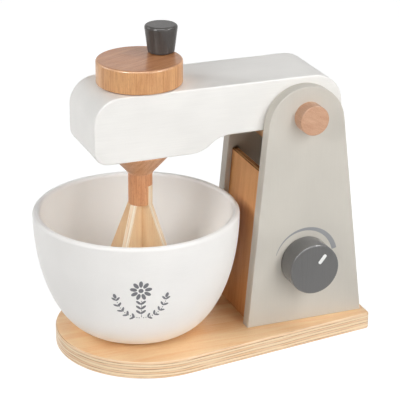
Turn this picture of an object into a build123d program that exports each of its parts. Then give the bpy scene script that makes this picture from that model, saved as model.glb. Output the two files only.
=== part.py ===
"""Wooden toy stand mixer: a tilting head with a hand crank and beater over a loose bowl.

Millimetres. The origin is on the underside of the base, below the middle of the bowl.
+X points from the bowl to the column, -Y is the side with the dial, +Z is up.
"""

from build123d import *
import math
import os

# Base board, a teardrop in plan
base_thickness = 12.0
base_bowl_end_radius = 61.5
base_bowl_end_x = 6.9
base_rear_x = 153.4
base_rear_half_width = 42.4
base_corner_radius = 2.5
base_edge_radius = 1.2

# Side panels of the column
panel_thickness = 9.0
panel_gap = 52.6
panel_front_x = 66.0
panel_rear_x = 149.6
panel_arc_x = 105.4
panel_arc_height = 138.6
panel_arc_radius = 27.0
panel_edge_radius = 0.7

# Boards that close the column in front and behind, held in stopped grooves
board_thickness = 5.0
board_setback = 3.7
board_length = 105.4
groove_depth = 3.0
glue_clearance = 0.1

# Head arm
arm_width = 52.0
nose_overhang = 39.3
tail_overhang = 28.2
arm_top_above_axle = 24.3
arm_tail_depth = 33.7
arm_nose_depth = 43.8
nose_top_radius = 18.0
nose_bottom_radius = 9.5
tail_top_radius = 21.0
tail_bottom_radius = 9.0
step_before_axle = 63.8
step_angle = 40.0
arm_edge_radius = 1.2

# Axle of the head, from the middle of the panels' round top
axle_behind_arc = 0.9
axle_above_arc = 6.8
axle_radius = 5.0
cap_radius = 10.0
cap_length = 10.0
cap_bore_depth = 7.0
cap_edge_radius = 0.6

# Rail that the head rests on
rail_thickness = 5.0
rail_height = 20.5
rail_before_axle = 10.6
rest_gap = 0.2

# Crank disc and its knob
crank_x = 3.0
disc_radius = 27.9
disc_thickness = 15.5
disc_top_edge_radius = 1.6
disc_bottom_edge_radius = 1.0
knob_offset = 19.7
knob_angle = 25.0
knob_height = 18.2
knob_top_radius = 11.0
knob_bottom_radius = 8.7
knob_top_edge_radius = 2.2
knob_bottom_edge_radius = 0.8

# Beater
spindle_radius = 8.0
spindle_socket_depth = 11.0
collar_radius = 21.0
collar_rim_height = 2.5
collar_lip = 0.5
collar_height = 17.0
blade_thickness = 5.0
blade_height = 68.3
blade_slot_depth = 13.0
blade_half_width = 26.3
blade_widest_drop = 45.0
blade_foot_half_width = 17.0
blade_shoulder_radius = 14.0
blade_foot_radius = 12.0
blade_angle = -53.0
blade_floor_clearance = 12.0

# Dial on the front panel, below the axle
dial_height = 43.7
dial_radius = 17.4
dial_thickness = 16.3
dial_front_edge_radius = 1.0
dial_back_edge_radius = 0.6

# Bowl
bowl_height = 83.5
bowl_radius = 68.0
bowl_foot_radius = 28.0
bowl_wall = 5.0
bowl_floor = 7.0

# Wood screws
screw_radius = 1.75
screw_head_radius = 3.5
screw_head_height = 2.6
screw_recess = 0.4
screw_bite = 20.0
knob_screw_bite = 12.0
dial_screw_bite = 12.0
screw_edge_distance = 13.5
pan_head_radius = 3.6
pan_head_height = 2.2
washer_radius = 5.0
washer_thickness = 0.8

# Gaps between bodies that move on each other
turning_gap = 0.35
shaft_clearance = 0.07
screw_clearance = 0.08
head_clearance = 0.25

# Levels that follow from the sizes above
base_top = base_thickness
panel_inner_y = panel_gap / 2
panel_outer_y = panel_inner_y + panel_thickness
axle_x = panel_arc_x + axle_behind_arc
axle_z = base_top + panel_arc_height + axle_above_arc
arm_top = axle_z + arm_top_above_axle
tail_underside = arm_top - arm_tail_depth
nose_underside = arm_top - arm_nose_depth
arm_nose_x = crank_x - nose_overhang
arm_tail_x = axle_x + tail_overhang
step_x = axle_x - step_before_axle
rail_front_x = axle_x - rail_before_axle
rail_top = tail_underside - rest_gap
disc_bottom = arm_top + turning_gap
disc_top = disc_bottom + disc_thickness
knob_bottom = disc_top + turning_gap
knob_x = crank_x + knob_offset * math.cos(math.radians(knob_angle))
knob_y = knob_offset * math.sin(math.radians(knob_angle))
blade_bottom = base_top + bowl_floor + blade_floor_clearance
spindle_bottom = blade_bottom + blade_height
blade_middle = (spindle_bottom + blade_bottom) / 2
dial_z = base_top + dial_height
dial_back_y = -panel_outer_y - turning_gap


def slab(profile, y_low, y_high):
    """Fill y_low to y_high with an outline drawn in the XZ plane."""
    return Pos(0, y_high, 0) * extrude(Plane.XZ * profile, y_high - y_low)


def bar_along_y(x, z, radius, y_low, y_high):
    """A cylinder along Y between two Y values."""
    middle = (y_low + y_high) / 2
    return Pos(x, middle, z) * Rot(90, 0, 0) * Cylinder(radius, y_high - y_low)


def bar_along_z(x, y, radius, z_low, z_high):
    """A cylinder along Z between two heights."""
    middle = (z_low + z_high) / 2
    return Pos(x, y, middle) * Cylinder(radius, z_high - z_low)


def countersunk_screw(length, margin=0.0):
    """A countersunk screw with its head's face at z = 0 and its shank up, or, with a margin, its hole."""
    outline = Polyline(
        (0, 0),
        (screw_head_radius + margin, 0),
        (screw_radius + margin, screw_head_height),
        (screw_radius + margin, length),
        (0, length),
        close=True,
    )
    return revolve(Plane.XZ * make_face(outline), Axis.Z)


def panel_screw_places():
    """The four screws up through the base, two under each side panel."""
    y = panel_inner_y + panel_thickness / 2
    xs = (panel_front_x + screw_edge_distance, panel_rear_x - screw_edge_distance)
    return [(x, side * y) for side in (-1, 1) for x in xs]


def base_board():
    """The base: a large circle under the bowl and straight sides to a square rear end."""
    corner_y = base_rear_half_width - base_corner_radius
    corner_x = base_rear_x - base_corner_radius
    circles = Sketch() + Pos(base_bowl_end_x, 0) * Circle(base_bowl_end_radius)
    edges = circles.edges()
    for side in (-1, 1):
        edges += (Pos(corner_x, side * corner_y) * Circle(base_corner_radius)).edges()
    board = extrude(make_hull(edges), base_thickness)
    rims = board.edges().group_by(Axis.Z)
    board = fillet(rims[-1] + rims[0], base_edge_radius)
    for x, y in panel_screw_places():
        board -= Pos(x, y, screw_recess) * countersunk_screw(base_thickness)
        board -= bar_along_z(x, y, screw_head_radius, -screw_recess, screw_recess)
    return board


def base_screws():
    """The four screws that hold the side panels, as one group."""
    length = base_thickness - screw_recess + screw_bite
    screws = [Pos(x, y, screw_recess) * countersunk_screw(length) for x, y in panel_screw_places()]
    return Compound(screws)


def panel_outline():
    """A side panel's outline: two leaning edges that run tangent into the round top."""
    arc = Pos(panel_arc_x, base_top + panel_arc_height) * Circle(panel_arc_radius)
    foot = Line((panel_front_x, base_top), (panel_rear_x, base_top))
    return make_hull(arc.edges() + foot.edges())


def panel_lean(rear):
    """The angle between a side panel's leaning edge and the vertical, in radians."""
    foot_x = panel_rear_x - panel_arc_x if rear else panel_arc_x - panel_front_x
    reach = math.hypot(foot_x, panel_arc_height)
    return math.atan2(foot_x, panel_arc_height) - math.asin(panel_arc_radius / reach)


def column_board_outline(rear, extra=0.0):
    """A column board's outline in XZ, parallel to the panel's edge, with extra thickness on each face."""
    lean = panel_lean(rear)
    towards_middle = -1 if rear else 1
    corner_x = panel_rear_x if rear else panel_front_x
    outer = corner_x + towards_middle * (board_setback - extra) / math.cos(lean)
    inner = corner_x + towards_middle * (board_setback + board_thickness + extra) / math.cos(lean)
    climb = Vector(towards_middle * math.sin(lean), math.cos(lean))
    across = Vector(towards_middle * math.cos(lean), -math.sin(lean))
    outer_top = Vector(outer, base_top) + climb * board_length
    inner_top = outer_top + across * (board_thickness + 2 * extra)
    return make_face(Polyline((outer, base_top), (inner, base_top), inner_top, outer_top, close=True))


def column_board(rear):
    """A board that closes the column, its long edges seated in the panels' grooves."""
    half_width = panel_inner_y + groove_depth - glue_clearance
    return slab(column_board_outline(rear), -half_width, half_width)


def groove_outline(rear):
    """A stopped groove: the board's outline with clearance and a round upper end."""
    straight = column_board_outline(rear, glue_clearance)
    top_edge = straight.edges().sort_by(Axis.Y)[-1]
    return straight + Pos(top_edge @ 0.5) * Circle(top_edge.length / 2)


def rail_outline(extra=0.0):
    """The head rest rail's section in XZ, with extra room on each face."""
    middle = (rail_front_x + rail_thickness / 2, rail_top - rail_height / 2)
    return Pos(*middle) * Rectangle(rail_thickness + 2 * extra, rail_height + 2 * extra)


def side_panel(side):
    """A side panel, at the front for side -1 and at the back for side 1."""
    low, high = sorted((side * panel_inner_y, side * panel_outer_y))
    panel = slab(panel_outline(), low, high)
    faces = panel.edges().group_by(Axis.Y)
    outside = faces[0] if side < 0 else faces[-1]
    inside = faces[-1] if side < 0 else faces[0]
    panel = fillet(outside + inside, panel_edge_radius)
    groove_low, groove_high = sorted((side * (panel_inner_y - 1), side * (panel_inner_y + groove_depth)))
    for outline in (groove_outline(False), groove_outline(True), rail_outline(glue_clearance)):
        panel -= slab(outline, groove_low, groove_high)
    panel -= bar_along_y(axle_x, axle_z, axle_radius, low - 1, high + 1)
    for x, y in panel_screw_places():
        panel -= bar_along_z(x, y, screw_radius, base_top - 1, base_top + screw_bite)
    if side < 0:
        panel -= bar_along_y(axle_x, dial_z, screw_radius + screw_clearance, low - 1, high + 1)
    return panel


def head_rest_rail():
    """The strip across the column that the head comes down on."""
    half_width = panel_inner_y + groove_depth - glue_clearance
    return slab(rail_outline(), -half_width, half_width)


def axle_rod():
    """The rod through both panels and the arm, glued into the caps."""
    reach = panel_outer_y + cap_bore_depth
    return bar_along_y(axle_x, axle_z, axle_radius, -reach, reach)


def axle_cap(side):
    """A round cap on the rod's end, against the panel."""
    low, high = sorted((side * panel_outer_y, side * (panel_outer_y + cap_length)))
    cap = bar_along_y(axle_x, axle_z, cap_radius, low, high)
    outer_rim = cap.edges().filter_by(GeomType.CIRCLE).sort_by(Axis.Y)[0 if side < 0 else -1]
    cap = fillet(outer_rim, cap_edge_radius)
    bore_low, bore_high = sorted((side * (panel_outer_y - 1), side * (panel_outer_y + cap_bore_depth)))
    return cap - bar_along_y(axle_x, axle_z, axle_radius, bore_low, bore_high)


def head_arm():
    """The head: one block, deeper at the nose, with an S-shaped step in its underside."""
    rise = nose_underside - tail_underside
    slope = math.radians(step_angle)
    half_run = abs(rise) / 2 / math.tan(slope)
    step_radius = 0.98 * abs(rise) / 2 / math.sin(slope) / math.tan(slope / 2)
    corners = [
        (arm_nose_x, arm_top, nose_top_radius),
        (arm_nose_x, nose_underside, nose_bottom_radius),
        (step_x - half_run, nose_underside, step_radius),
        (step_x + half_run, tail_underside, step_radius),
        (arm_tail_x, tail_underside, tail_bottom_radius),
        (arm_tail_x, arm_top, tail_top_radius),
    ]
    points = [(x, z) for x, z, _ in corners]
    radii = [radius for _, _, radius in corners]
    outline = make_face(FilletPolyline(*points, radius=radii, close=True))
    arm = slab(outline, -arm_width / 2, arm_width / 2)
    sides = arm.edges().group_by(Axis.Y)
    arm = fillet(sides[0] + sides[-1], arm_edge_radius)
    arm -= bar_along_z(crank_x, 0, spindle_radius + shaft_clearance, nose_underside - 1, arm_top + 1)
    return arm - bar_along_y(axle_x, axle_z, axle_radius + shaft_clearance, -arm_width, arm_width)


def crank_disc():
    """The disc on top of the head, with a socket for the spindle and a hole for the knob's screw."""
    disc = bar_along_z(crank_x, 0, disc_radius, disc_bottom, disc_top)
    rims = disc.edges().filter_by(GeomType.CIRCLE).sort_by(Axis.Z)
    disc = fillet(rims[-1], disc_top_edge_radius)
    rims = disc.edges().filter_by(GeomType.CIRCLE).sort_by(Axis.Z)
    disc = fillet(rims[0], disc_bottom_edge_radius)
    disc -= bar_along_z(crank_x, 0, spindle_radius, disc_bottom - 1, disc_bottom + spindle_socket_depth)
    hole = countersunk_screw(disc_thickness + 1, screw_clearance)
    head_way = bar_along_z(0, 0, screw_head_radius + screw_clearance, -screw_recess - 1, 0)
    return disc - Pos(knob_x, knob_y, disc_bottom + screw_recess) * (hole + head_way)


def crank_knob():
    """The tapered knob, with a pilot hole for its screw."""
    outline = Polyline(
        (0, knob_bottom),
        (knob_bottom_radius, knob_bottom),
        (knob_top_radius, knob_bottom + knob_height),
        (0, knob_bottom + knob_height),
        close=True,
    )
    knob = revolve(Plane.XZ * make_face(outline), Axis.Z)
    rims = knob.edges().filter_by(GeomType.CIRCLE).sort_by(Axis.Z)
    knob = fillet(rims[-1], knob_top_edge_radius)
    rims = knob.edges().filter_by(GeomType.CIRCLE).sort_by(Axis.Z)
    knob = fillet(rims[0], knob_bottom_edge_radius)
    knob -= bar_along_z(0, 0, screw_radius, knob_bottom - 1, knob_bottom + knob_screw_bite)
    return Pos(knob_x, knob_y, 0) * knob


def crank_knob_screw():
    """The screw up through the disc into the knob, which turns with the knob."""
    head_z = disc_bottom + screw_recess
    length = knob_bottom + knob_screw_bite - head_z
    return Pos(knob_x, knob_y, head_z) * countersunk_screw(length)


def blade_slab(half_width, z_low, z_high, angle):
    """A flat block as thick as a blade, standing on the spindle's axis."""
    block = Box(2 * half_width, blade_thickness, z_high - z_low)
    return Pos(crank_x, 0, (z_low + z_high) / 2) * Rot(0, 0, angle) * block


def beater_spindle():
    """The dowel from the disc down through the head, slotted at its foot for the long blade."""
    top = disc_bottom + spindle_socket_depth
    spindle = bar_along_z(crank_x, 0, spindle_radius, spindle_bottom, top)
    slot_top = spindle_bottom + blade_slot_depth
    return spindle - blade_slab(2 * spindle_radius, spindle_bottom - 1, slot_top, blade_angle)


def beater_collar():
    """The flared ring on the spindle, close under the head."""
    top = nose_underside - turning_gap
    bottom = top - collar_height
    outline = Polyline(
        (spindle_radius, bottom),
        (spindle_radius + collar_lip, bottom),
        (spindle_radius + collar_lip, bottom + collar_lip),
        (collar_radius, top - collar_rim_height),
        (collar_radius, top),
        (spindle_radius, top),
        close=True,
    )
    return Pos(crank_x, 0, 0) * revolve(Plane.XZ * make_face(outline), Axis.Z)


def beater_blade(long):
    """One of two crossed blades: the long one stands in the spindle's slot, the short one butts under it."""
    widest = spindle_bottom - blade_widest_drop
    top = spindle_bottom + blade_slot_depth if long else spindle_bottom
    right = [
        (blade_foot_half_width, blade_bottom, blade_foot_radius),
        (blade_half_width, widest, blade_shoulder_radius),
        (spindle_radius, spindle_bottom, 0),
    ]
    if long:
        right.append((spindle_radius, top, 0))
    corners = right + [(-x, z, radius) for x, z, radius in reversed(right)]
    outline = make_face(Polyline(*[(x, z) for x, z, _ in corners], close=True))
    for x, z, radius in corners:
        if radius:
            corner = outline.vertices().sort_by_distance(Vector(x, z))[0]
            outline = fillet(corner, radius)
    angle = blade_angle if long else blade_angle + 90
    blade = slab(outline, -blade_thickness / 2, blade_thickness / 2)
    blade = Pos(crank_x, 0, 0) * Rot(0, 0, angle) * blade
    low, high = (blade_bottom - 1, blade_middle) if long else (blade_middle, top + 1)
    return blade - blade_slab(blade_thickness / 2, low, high, angle)


def dial_knob():
    """The dial on the front panel, with a pilot hole for its screw."""
    front_y = dial_back_y - dial_thickness
    dial = bar_along_y(axle_x, dial_z, dial_radius, front_y, dial_back_y)
    rims = dial.edges().filter_by(GeomType.CIRCLE).sort_by(Axis.Y)
    dial = fillet(rims[0], dial_front_edge_radius)
    rims = dial.edges().filter_by(GeomType.CIRCLE).sort_by(Axis.Y)
    dial = fillet(rims[-1], dial_back_edge_radius)
    return dial - bar_along_y(axle_x, dial_z, screw_radius, dial_back_y - dial_screw_bite, dial_back_y + 1)


def dial_washer():
    """The washer between the panel's inner face and the screw's head."""
    back = -panel_inner_y + head_clearance
    washer = bar_along_y(axle_x, dial_z, washer_radius, back, back + washer_thickness)
    return washer - bar_along_y(axle_x, dial_z, screw_radius, back - 1, back + washer_thickness + 1)


def dial_screw():
    """The pan head screw from inside the column through the panel into the dial."""
    seat = -panel_inner_y + head_clearance + washer_thickness
    head = bar_along_y(axle_x, dial_z, pan_head_radius, seat, seat + pan_head_height)
    return head + bar_along_y(axle_x, dial_z, screw_radius, dial_back_y - dial_screw_bite, seat)


def bowl_curve(foot_radius, rim_radius, bottom, rim_middle):
    """A quarter ellipse from the flat floor out to the upright rim."""
    return EllipticalCenterArc(
        (foot_radius, rim_middle), rim_radius - foot_radius, rim_middle - bottom, start_angle=270, arc_size=90
    )


def mixing_bowl():
    """The bowl, resting on the base, with an even wall and a half-round rim."""
    rim_middle = base_top + bowl_height - bowl_wall / 2
    floor = base_top + bowl_floor
    outer = bowl_curve(bowl_foot_radius, bowl_radius, base_top, rim_middle)
    inner = bowl_curve(bowl_foot_radius, bowl_radius - bowl_wall, floor, rim_middle)
    rim = ThreePointArc(outer @ 1, (bowl_radius - bowl_wall / 2, base_top + bowl_height), inner @ 1)
    underside = Line((0, base_top), outer @ 0)
    inside = Line((0, floor), inner @ 0)
    axis = Line((0, base_top), (0, floor))
    outline = make_face([underside, outer, rim, inner, inside, axis])
    return revolve(Plane.XZ * outline, Axis.Z)


def main():
    """Build each piece and write it to its own file."""
    pieces = {
        "base_board": base_board(),
        "base_screws": base_screws(),
        "side_panel_front": side_panel(-1),
        "side_panel_back": side_panel(1),
        "column_front_board": column_board(False),
        "column_rear_board": column_board(True),
        "head_rest_rail": head_rest_rail(),
        "axle_rod": axle_rod(),
        "axle_cap_front": axle_cap(-1),
        "axle_cap_back": axle_cap(1),
        "head_arm": head_arm(),
        "crank_disc": crank_disc(),
        "crank_knob": crank_knob(),
        "crank_knob_screw": crank_knob_screw(),
        "beater_spindle": beater_spindle(),
        "beater_collar": beater_collar(),
        "beater_blade_long": beater_blade(True),
        "beater_blade_short": beater_blade(False),
        "dial_knob": dial_knob(),
        "dial_screw": dial_screw(),
        "dial_washer": dial_washer(),
        "mixing_bowl": mixing_bowl(),
    }
    os.makedirs("parts", exist_ok=True)
    for name, shape in pieces.items():
        export_step(shape, f"parts/{name}.step")


main()
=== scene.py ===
"""Dresses the wooden toy stand mixer: modelled pieces, paint and lacquered wood, and a small studio.

Lengths are millimetres in the classes and metres in Blender. The frame is the CAD model's:
+X from the bowl to the column, -Y the side with the dial, +Z up, the floor at z = 0.
"""

import logging
import math
from contextlib import contextmanager
from dataclasses import dataclass, field
from enum import Enum
from functools import cache
from typing import Callable, Iterator, Sequence

import bmesh
import bpy
from mathutils import Euler, Matrix, Vector


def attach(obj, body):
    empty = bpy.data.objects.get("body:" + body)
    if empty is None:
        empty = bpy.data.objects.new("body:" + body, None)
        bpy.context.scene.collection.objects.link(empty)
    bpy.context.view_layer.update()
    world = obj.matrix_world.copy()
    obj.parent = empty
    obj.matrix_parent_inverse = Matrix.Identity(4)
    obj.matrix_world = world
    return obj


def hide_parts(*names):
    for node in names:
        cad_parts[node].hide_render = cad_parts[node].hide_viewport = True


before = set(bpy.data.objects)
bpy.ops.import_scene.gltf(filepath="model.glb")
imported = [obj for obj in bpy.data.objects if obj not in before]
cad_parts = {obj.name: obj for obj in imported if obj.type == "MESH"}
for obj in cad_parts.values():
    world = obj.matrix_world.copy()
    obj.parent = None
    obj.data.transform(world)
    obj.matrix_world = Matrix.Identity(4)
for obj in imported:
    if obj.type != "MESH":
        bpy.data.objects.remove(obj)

LOG = logging.getLogger("toy_mixer")
MM = 0.001
FULL_TURN = 2 * math.pi

# How near two points count as one, how far a straight step may fall short of its arc, and how far a
# tool reaches out of the face that it cuts
TOUCH = 0.001
SAG = 0.012
OVERLAP = 1.0

# Places and sizes that several sub-assemblies share
AXLE_X, AXLE_Z = 106.3, 157.4
CRANK_X = 3.0
KNOB_X, KNOB_Y = 20.854, 8.326
DIAL_Z = 55.7
BASE_TOP = 12.0
SCREW_XS = (79.5, 136.1)
PILOT_RADIUS = 1.75
PILOT_DEPTH = 12.0
BLADE_THICKNESS = 5.0
BOARD_THICKNESS = 5.0

ALONG_Y, ALONG_Z = 1, 2

Piece = bpy.types.Object
Socket = bpy.types.NodeSocket
Colour = tuple[float, float, float]
Spot = tuple[float, float, float]


# The bench: outlines, primitives and edit-mode steps


class DrawingPlane(Enum):
    """The plane that an outline is drawn in; a slab is pulled along the third axis."""

    FLOOR = "xy"
    SIDE = "xz"

    def place(self, u: float, v: float, level: float = 0.0) -> Vector:
        """Give the point in metres that lies at (u, v) millimetres in the plane."""
        spot = (u, v, level) if self is DrawingPlane.FLOOR else (u, level, v)
        return Vector(spot) * MM

    @property
    def pull_axis(self) -> int:
        """The index of the axis that the slab is pulled along."""
        return ALONG_Z if self is DrawingPlane.FLOOR else ALONG_Y

    @property
    def turn_axis(self) -> Spot:
        """The axis about which u turns towards v."""
        return (0, 0, 1) if self is DrawingPlane.FLOOR else (0, -1, 0)


class Lie(Enum):
    """How a round primitive lies: from its foot it points along +Z or -Y."""

    UPRIGHT = (0.0, 0.0, 0.0)
    FACING_FRONT = (math.pi / 2, 0.0, 0.0)

    @property
    def way(self) -> Vector:
        """The direction from the foot to the far end."""
        return Euler(self.value).to_matrix() @ Vector((0, 0, 1))


@dataclass(frozen=True)
class Corner:
    """A corner of an outline and the radius that rounds it."""

    u: float
    v: float
    radius: float = 0.0

    @property
    def point(self) -> Vector:
        """The corner as a vector."""
        return Vector((self.u, self.v))


@dataclass(frozen=True)
class Fillet:
    """The arc that rounds a corner: where it starts and ends, its centre and its signed turn."""

    start: Vector
    end: Vector
    centre: Vector
    turn: float


def fillet_at(corners: Sequence[Corner], index: int) -> Fillet:
    """Work out the arc that rounds one corner of a closed outline.

    Args:
        corners: The outline's corners in order.
        index: The corner's place in the list.

    Returns:
        The arc, of no length where the corner has no radius.
    """
    corner = corners[index]
    arriving = (corner.point - corners[index - 1].point).normalized()
    leaving = (corners[(index + 1) % len(corners)].point - corner.point).normalized()
    turn = math.atan2(arriving.x * leaving.y - arriving.y * leaving.x, arriving.dot(leaving))
    reach = corner.radius * math.tan(abs(turn) / 2)
    start = corner.point - arriving * reach
    side = Vector((-arriving.y, arriving.x)) * math.copysign(1, turn)
    return Fillet(start, corner.point + leaving * reach, start + side * corner.radius, turn)


def box_corners(low_u: float, low_v: float, high_u: float, high_v: float) -> list[Corner]:
    """Give the corners of an upright rectangle."""
    return [Corner(low_u, low_v), Corner(high_u, low_v), Corner(high_u, high_v), Corner(low_u, high_v)]


def arc_steps(radius: float, turn: float) -> int:
    """Give the number of straight steps that follow an arc closely."""
    step = 2 * math.acos(max(0.0, 1 - SAG / max(radius, 2 * SAG)))
    return max(3, math.ceil(abs(turn) / step))


def hold(piece: Piece) -> None:
    """Make a piece the only selected and the active one.

    Args:
        piece: The piece.
    """
    bpy.ops.object.select_all(action="DESELECT")
    piece.select_set(True)
    bpy.context.view_layer.objects.active = piece


@contextmanager
def editing(piece: Piece) -> Iterator[None]:
    """Hold a piece in edit mode, with all of it selected, for the steps of a with block.

    Args:
        piece: The piece.

    Returns:
        The context of the with block.
    """
    hold(piece)
    bpy.ops.object.mode_set(mode="EDIT")
    bpy.ops.mesh.select_all(action="SELECT")
    yield
    bpy.ops.object.mode_set(mode="OBJECT")


def modify(piece: Piece, kind: str, **settings: object) -> None:
    """Put a modifier on a piece and apply it.

    Args:
        piece: The piece.
        kind: The modifier's type.
        settings: Its settings.
    """
    hold(piece)
    bpy.ops.object.modifier_add(type=kind)
    step = piece.modifiers[-1]
    for key, value in settings.items():
        setattr(step, key, value)
    bpy.ops.object.modifier_apply(modifier=step.name)


def keep(name: str) -> Piece:
    """Name the primitive just added and move its place into its mesh.

    Args:
        name: The name.

    Returns:
        The piece, held.
    """
    piece = bpy.context.object
    piece.name = name
    piece.data.name = name
    hold(piece)
    bpy.ops.object.transform_apply(location=True, rotation=True, scale=True)
    return piece


def extrude(move: Vector) -> None:
    """Pull what is selected in edit mode on by a move in metres."""
    bpy.ops.mesh.extrude_region_move(TRANSFORM_OT_translate={"value": move})


def turned_bar(
    name: str, foot: Sequence[float], radius: float, length: float,
    lie: Lie = Lie.UPRIGHT, far_radius: float | None = None,
) -> Piece:
    """Add a round bar, or a tapered one.

    Args:
        name: The piece's name.
        foot: The middle of its near end.
        radius: The radius at its near end.
        length: The length.
        lie: How it lies.
        far_radius: The radius at its far end, where that differs.

    Returns:
        The piece.
    """
    far = radius if far_radius is None else far_radius
    centre = Vector(foot) + lie.way * length / 2
    bpy.ops.mesh.primitive_cone_add(
        vertices=4 * math.ceil(arc_steps(max(radius, far), FULL_TURN) / 4),
        radius1=radius * MM, radius2=far * MM, depth=length * MM, location=centre * MM, rotation=lie.value,
    )
    return keep(name)


class Pen:
    """Draws an outline in a plane, one vertex pulled on from the last."""

    def __init__(
        self, name: str, start: Vector, level: float, plane: DrawingPlane = DrawingPlane.SIDE
    ) -> None:
        """Set the pen down.

        Args:
            name: The piece's name.
            start: The first point.
            level: The plane's place along its third axis.
            plane: The plane it draws in.
        """
        self.plane = plane
        self.level = level
        self.here = start.copy()
        bpy.ops.mesh.primitive_plane_add(size=MM, location=plane.place(start.x, start.y, level))
        self.piece = keep(name)
        bpy.ops.object.mode_set(mode="EDIT")
        bpy.ops.mesh.select_mode(type="VERT")
        bpy.ops.mesh.merge(type="CENTER")

    def line_to(self, point: Vector) -> None:
        """Pull the last vertex on to a point in a straight line.

        Args:
            point: The point.
        """
        step = point - self.here
        if step.length > TOUCH:
            extrude(self.plane.place(step.x, step.y))
            self.here = point.copy()

    def arc(self, centre: Vector, turn: float) -> None:
        """Pull the last vertex on round a centre.

        Args:
            centre: The arc's centre.
            turn: How far to turn, in radians, positive from u towards v.
        """
        arm = self.here - centre
        if arm.length < TOUCH or abs(turn) < TOUCH:
            return
        bpy.ops.mesh.spin(
            steps=arc_steps(arm.length, turn), angle=-turn,
            center=self.plane.place(centre.x, centre.y, self.level), axis=self.plane.turn_axis,
        )
        self.here = centre + Matrix.Rotation(turn, 2) @ arm

    def pull(self, length: float) -> Piece:
        """Close and fill the outline and pull it to a slab.

        Args:
            length: How far to pull along the plane's third axis.

        Returns:
            The piece.
        """
        bpy.ops.mesh.select_all(action="SELECT")
        bpy.ops.mesh.remove_doubles(threshold=2 * TOUCH * MM)
        bpy.ops.mesh.edge_face_add()
        extrude(self.plane.place(0, 0, length))
        return self.put_down()

    def turn_round(self, widest: float) -> Piece:
        """Spin the drawn half profile all the way round the upright axis.

        Args:
            widest: The largest radius, which sets the number of steps.

        Returns:
            The piece.
        """
        bpy.ops.mesh.select_all(action="SELECT")
        bpy.ops.mesh.spin(
            steps=arc_steps(widest, FULL_TURN), angle=FULL_TURN, center=(0, 0, 0), axis=(0, 0, 1)
        )
        bpy.ops.mesh.select_all(action="SELECT")
        bpy.ops.mesh.remove_doubles(threshold=TOUCH * MM)
        return self.put_down()

    def put_down(self) -> Piece:
        """Turn the finished shape's normals outward and leave edit mode.

        Returns:
            The piece.
        """
        bpy.ops.mesh.select_all(action="SELECT")
        bpy.ops.mesh.normals_make_consistent(inside=False)
        bpy.ops.object.mode_set(mode="OBJECT")
        return self.piece


def pick(piece: Piece, kind: str, wanted: Callable[[list[Vector]], bool]) -> None:
    """Select the edges or the faces, in edit mode, whose vertices a test accepts.

    Args:
        piece: The piece in edit mode.
        kind: EDGE or FACE.
        wanted: The test of the places of the vertices, in millimetres.
    """
    bpy.ops.mesh.select_mode(type=kind)
    bpy.ops.mesh.select_all(action="DESELECT")
    mesh = bmesh.from_edit_mesh(piece.data)
    parts = mesh.edges if kind == "EDGE" else mesh.faces
    for part in [part for part in parts if wanted([vertex.co / MM for vertex in part.verts])]:
        part.select_set(True)
    bmesh.update_edit_mesh(piece.data)


def at_level(axis: int, level: float) -> Callable[[list[Vector]], bool]:
    """Give the test of whether all places lie at one level of an axis."""
    return lambda places: all(abs(place[axis] - level) < TOUCH for place in places)


def round_rim(piece: Piece, axis: int, level: float, radius: float, steps: int = 5) -> None:
    """Bevel the edges that lie at one level of an axis.

    Args:
        piece: The piece.
        axis: The axis's index.
        level: The level.
        radius: The bevel's radius.
        steps: The number of its segments.
    """
    with editing(piece):
        pick(piece, "EDGE", at_level(axis, level))
        bpy.ops.mesh.bevel(
            offset=radius * MM, offset_type="OFFSET", segments=steps, profile=0.5,
            affect="EDGES", clamp_overlap=False,
        )


def slab(
    name: str, corners: Sequence[Corner], low: float, high: float, rim: float = 0.0, rim_steps: int = 5,
    plane: DrawingPlane = DrawingPlane.SIDE,
) -> Piece:
    """Draw a closed outline with rounded corners and pull it to a slab.

    Args:
        name: The piece's name.
        corners: The outline's corners in order.
        low: Where the slab starts along the third axis.
        high: Where it ends.
        rim: The radius that rounds the edges of both its faces.
        rim_steps: The number of segments of that rounding.
        plane: The plane of the outline.

    Returns:
        The piece.
    """
    fillets = [fillet_at(corners, index) for index in range(len(corners))]
    pen = Pen(name, fillets[0].end, low, plane)
    for fillet in fillets[1:] + fillets[:1]:
        pen.line_to(fillet.start)
        pen.arc(fillet.centre, fillet.turn)
    piece = pen.pull(high - low)
    for level in (low, high) if rim else ():
        round_rim(piece, plane.pull_axis, level, rim, rim_steps)
    return piece


def put_away(piece: Piece) -> None:
    """Remove a piece and its mesh."""
    bpy.data.meshes.remove(piece.data)


def cut(piece: Piece, cutter: Piece) -> None:
    """Cut a tool's shape out of a piece and put the tool away."""
    modify(piece, "BOOLEAN", operation="DIFFERENCE", solver="EXACT", object=cutter)
    put_away(cutter)


def bore(
    piece: Piece, mouth: Sequence[float], radius: float, depth: float, lie: Lie = Lie.UPRIGHT
) -> None:
    """Bore a round hole into a piece, from the middle of its mouth along a direction."""
    foot = Vector(mouth) - lie.way * OVERLAP
    cut(piece, turned_bar("tool_bore", foot, radius, depth + OVERLAP, lie))


def copied(piece: Piece, name: str, move: Matrix) -> Piece:
    """Copy a piece with a mesh of its own.

    Args:
        piece: The piece.
        name: The copy's name.
        move: What is done to the copy's mesh, in metres.

    Returns:
        The copy.
    """
    twin = piece.copy()
    twin.data = piece.data.copy()
    twin.name = twin.data.name = name
    bpy.context.scene.collection.objects.link(twin)
    twin.data.transform(move)
    if move.determinant() < 0:
        with editing(twin):
            bpy.ops.mesh.flip_normals()
    return twin


def turn_upright(piece: Piece, degrees: float, x: float = 0.0) -> None:
    """Turn a piece's mesh about an upright axis.

    Args:
        piece: The piece.
        degrees: The angle, anticlockwise from above.
        x: The axis's X; its Y is 0.
    """
    with editing(piece):
        bpy.ops.transform.rotate(
            value=-math.radians(degrees), orient_axis="Z", orient_type="GLOBAL",
            center_override=(x * MM, 0, 0),
        )


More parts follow.
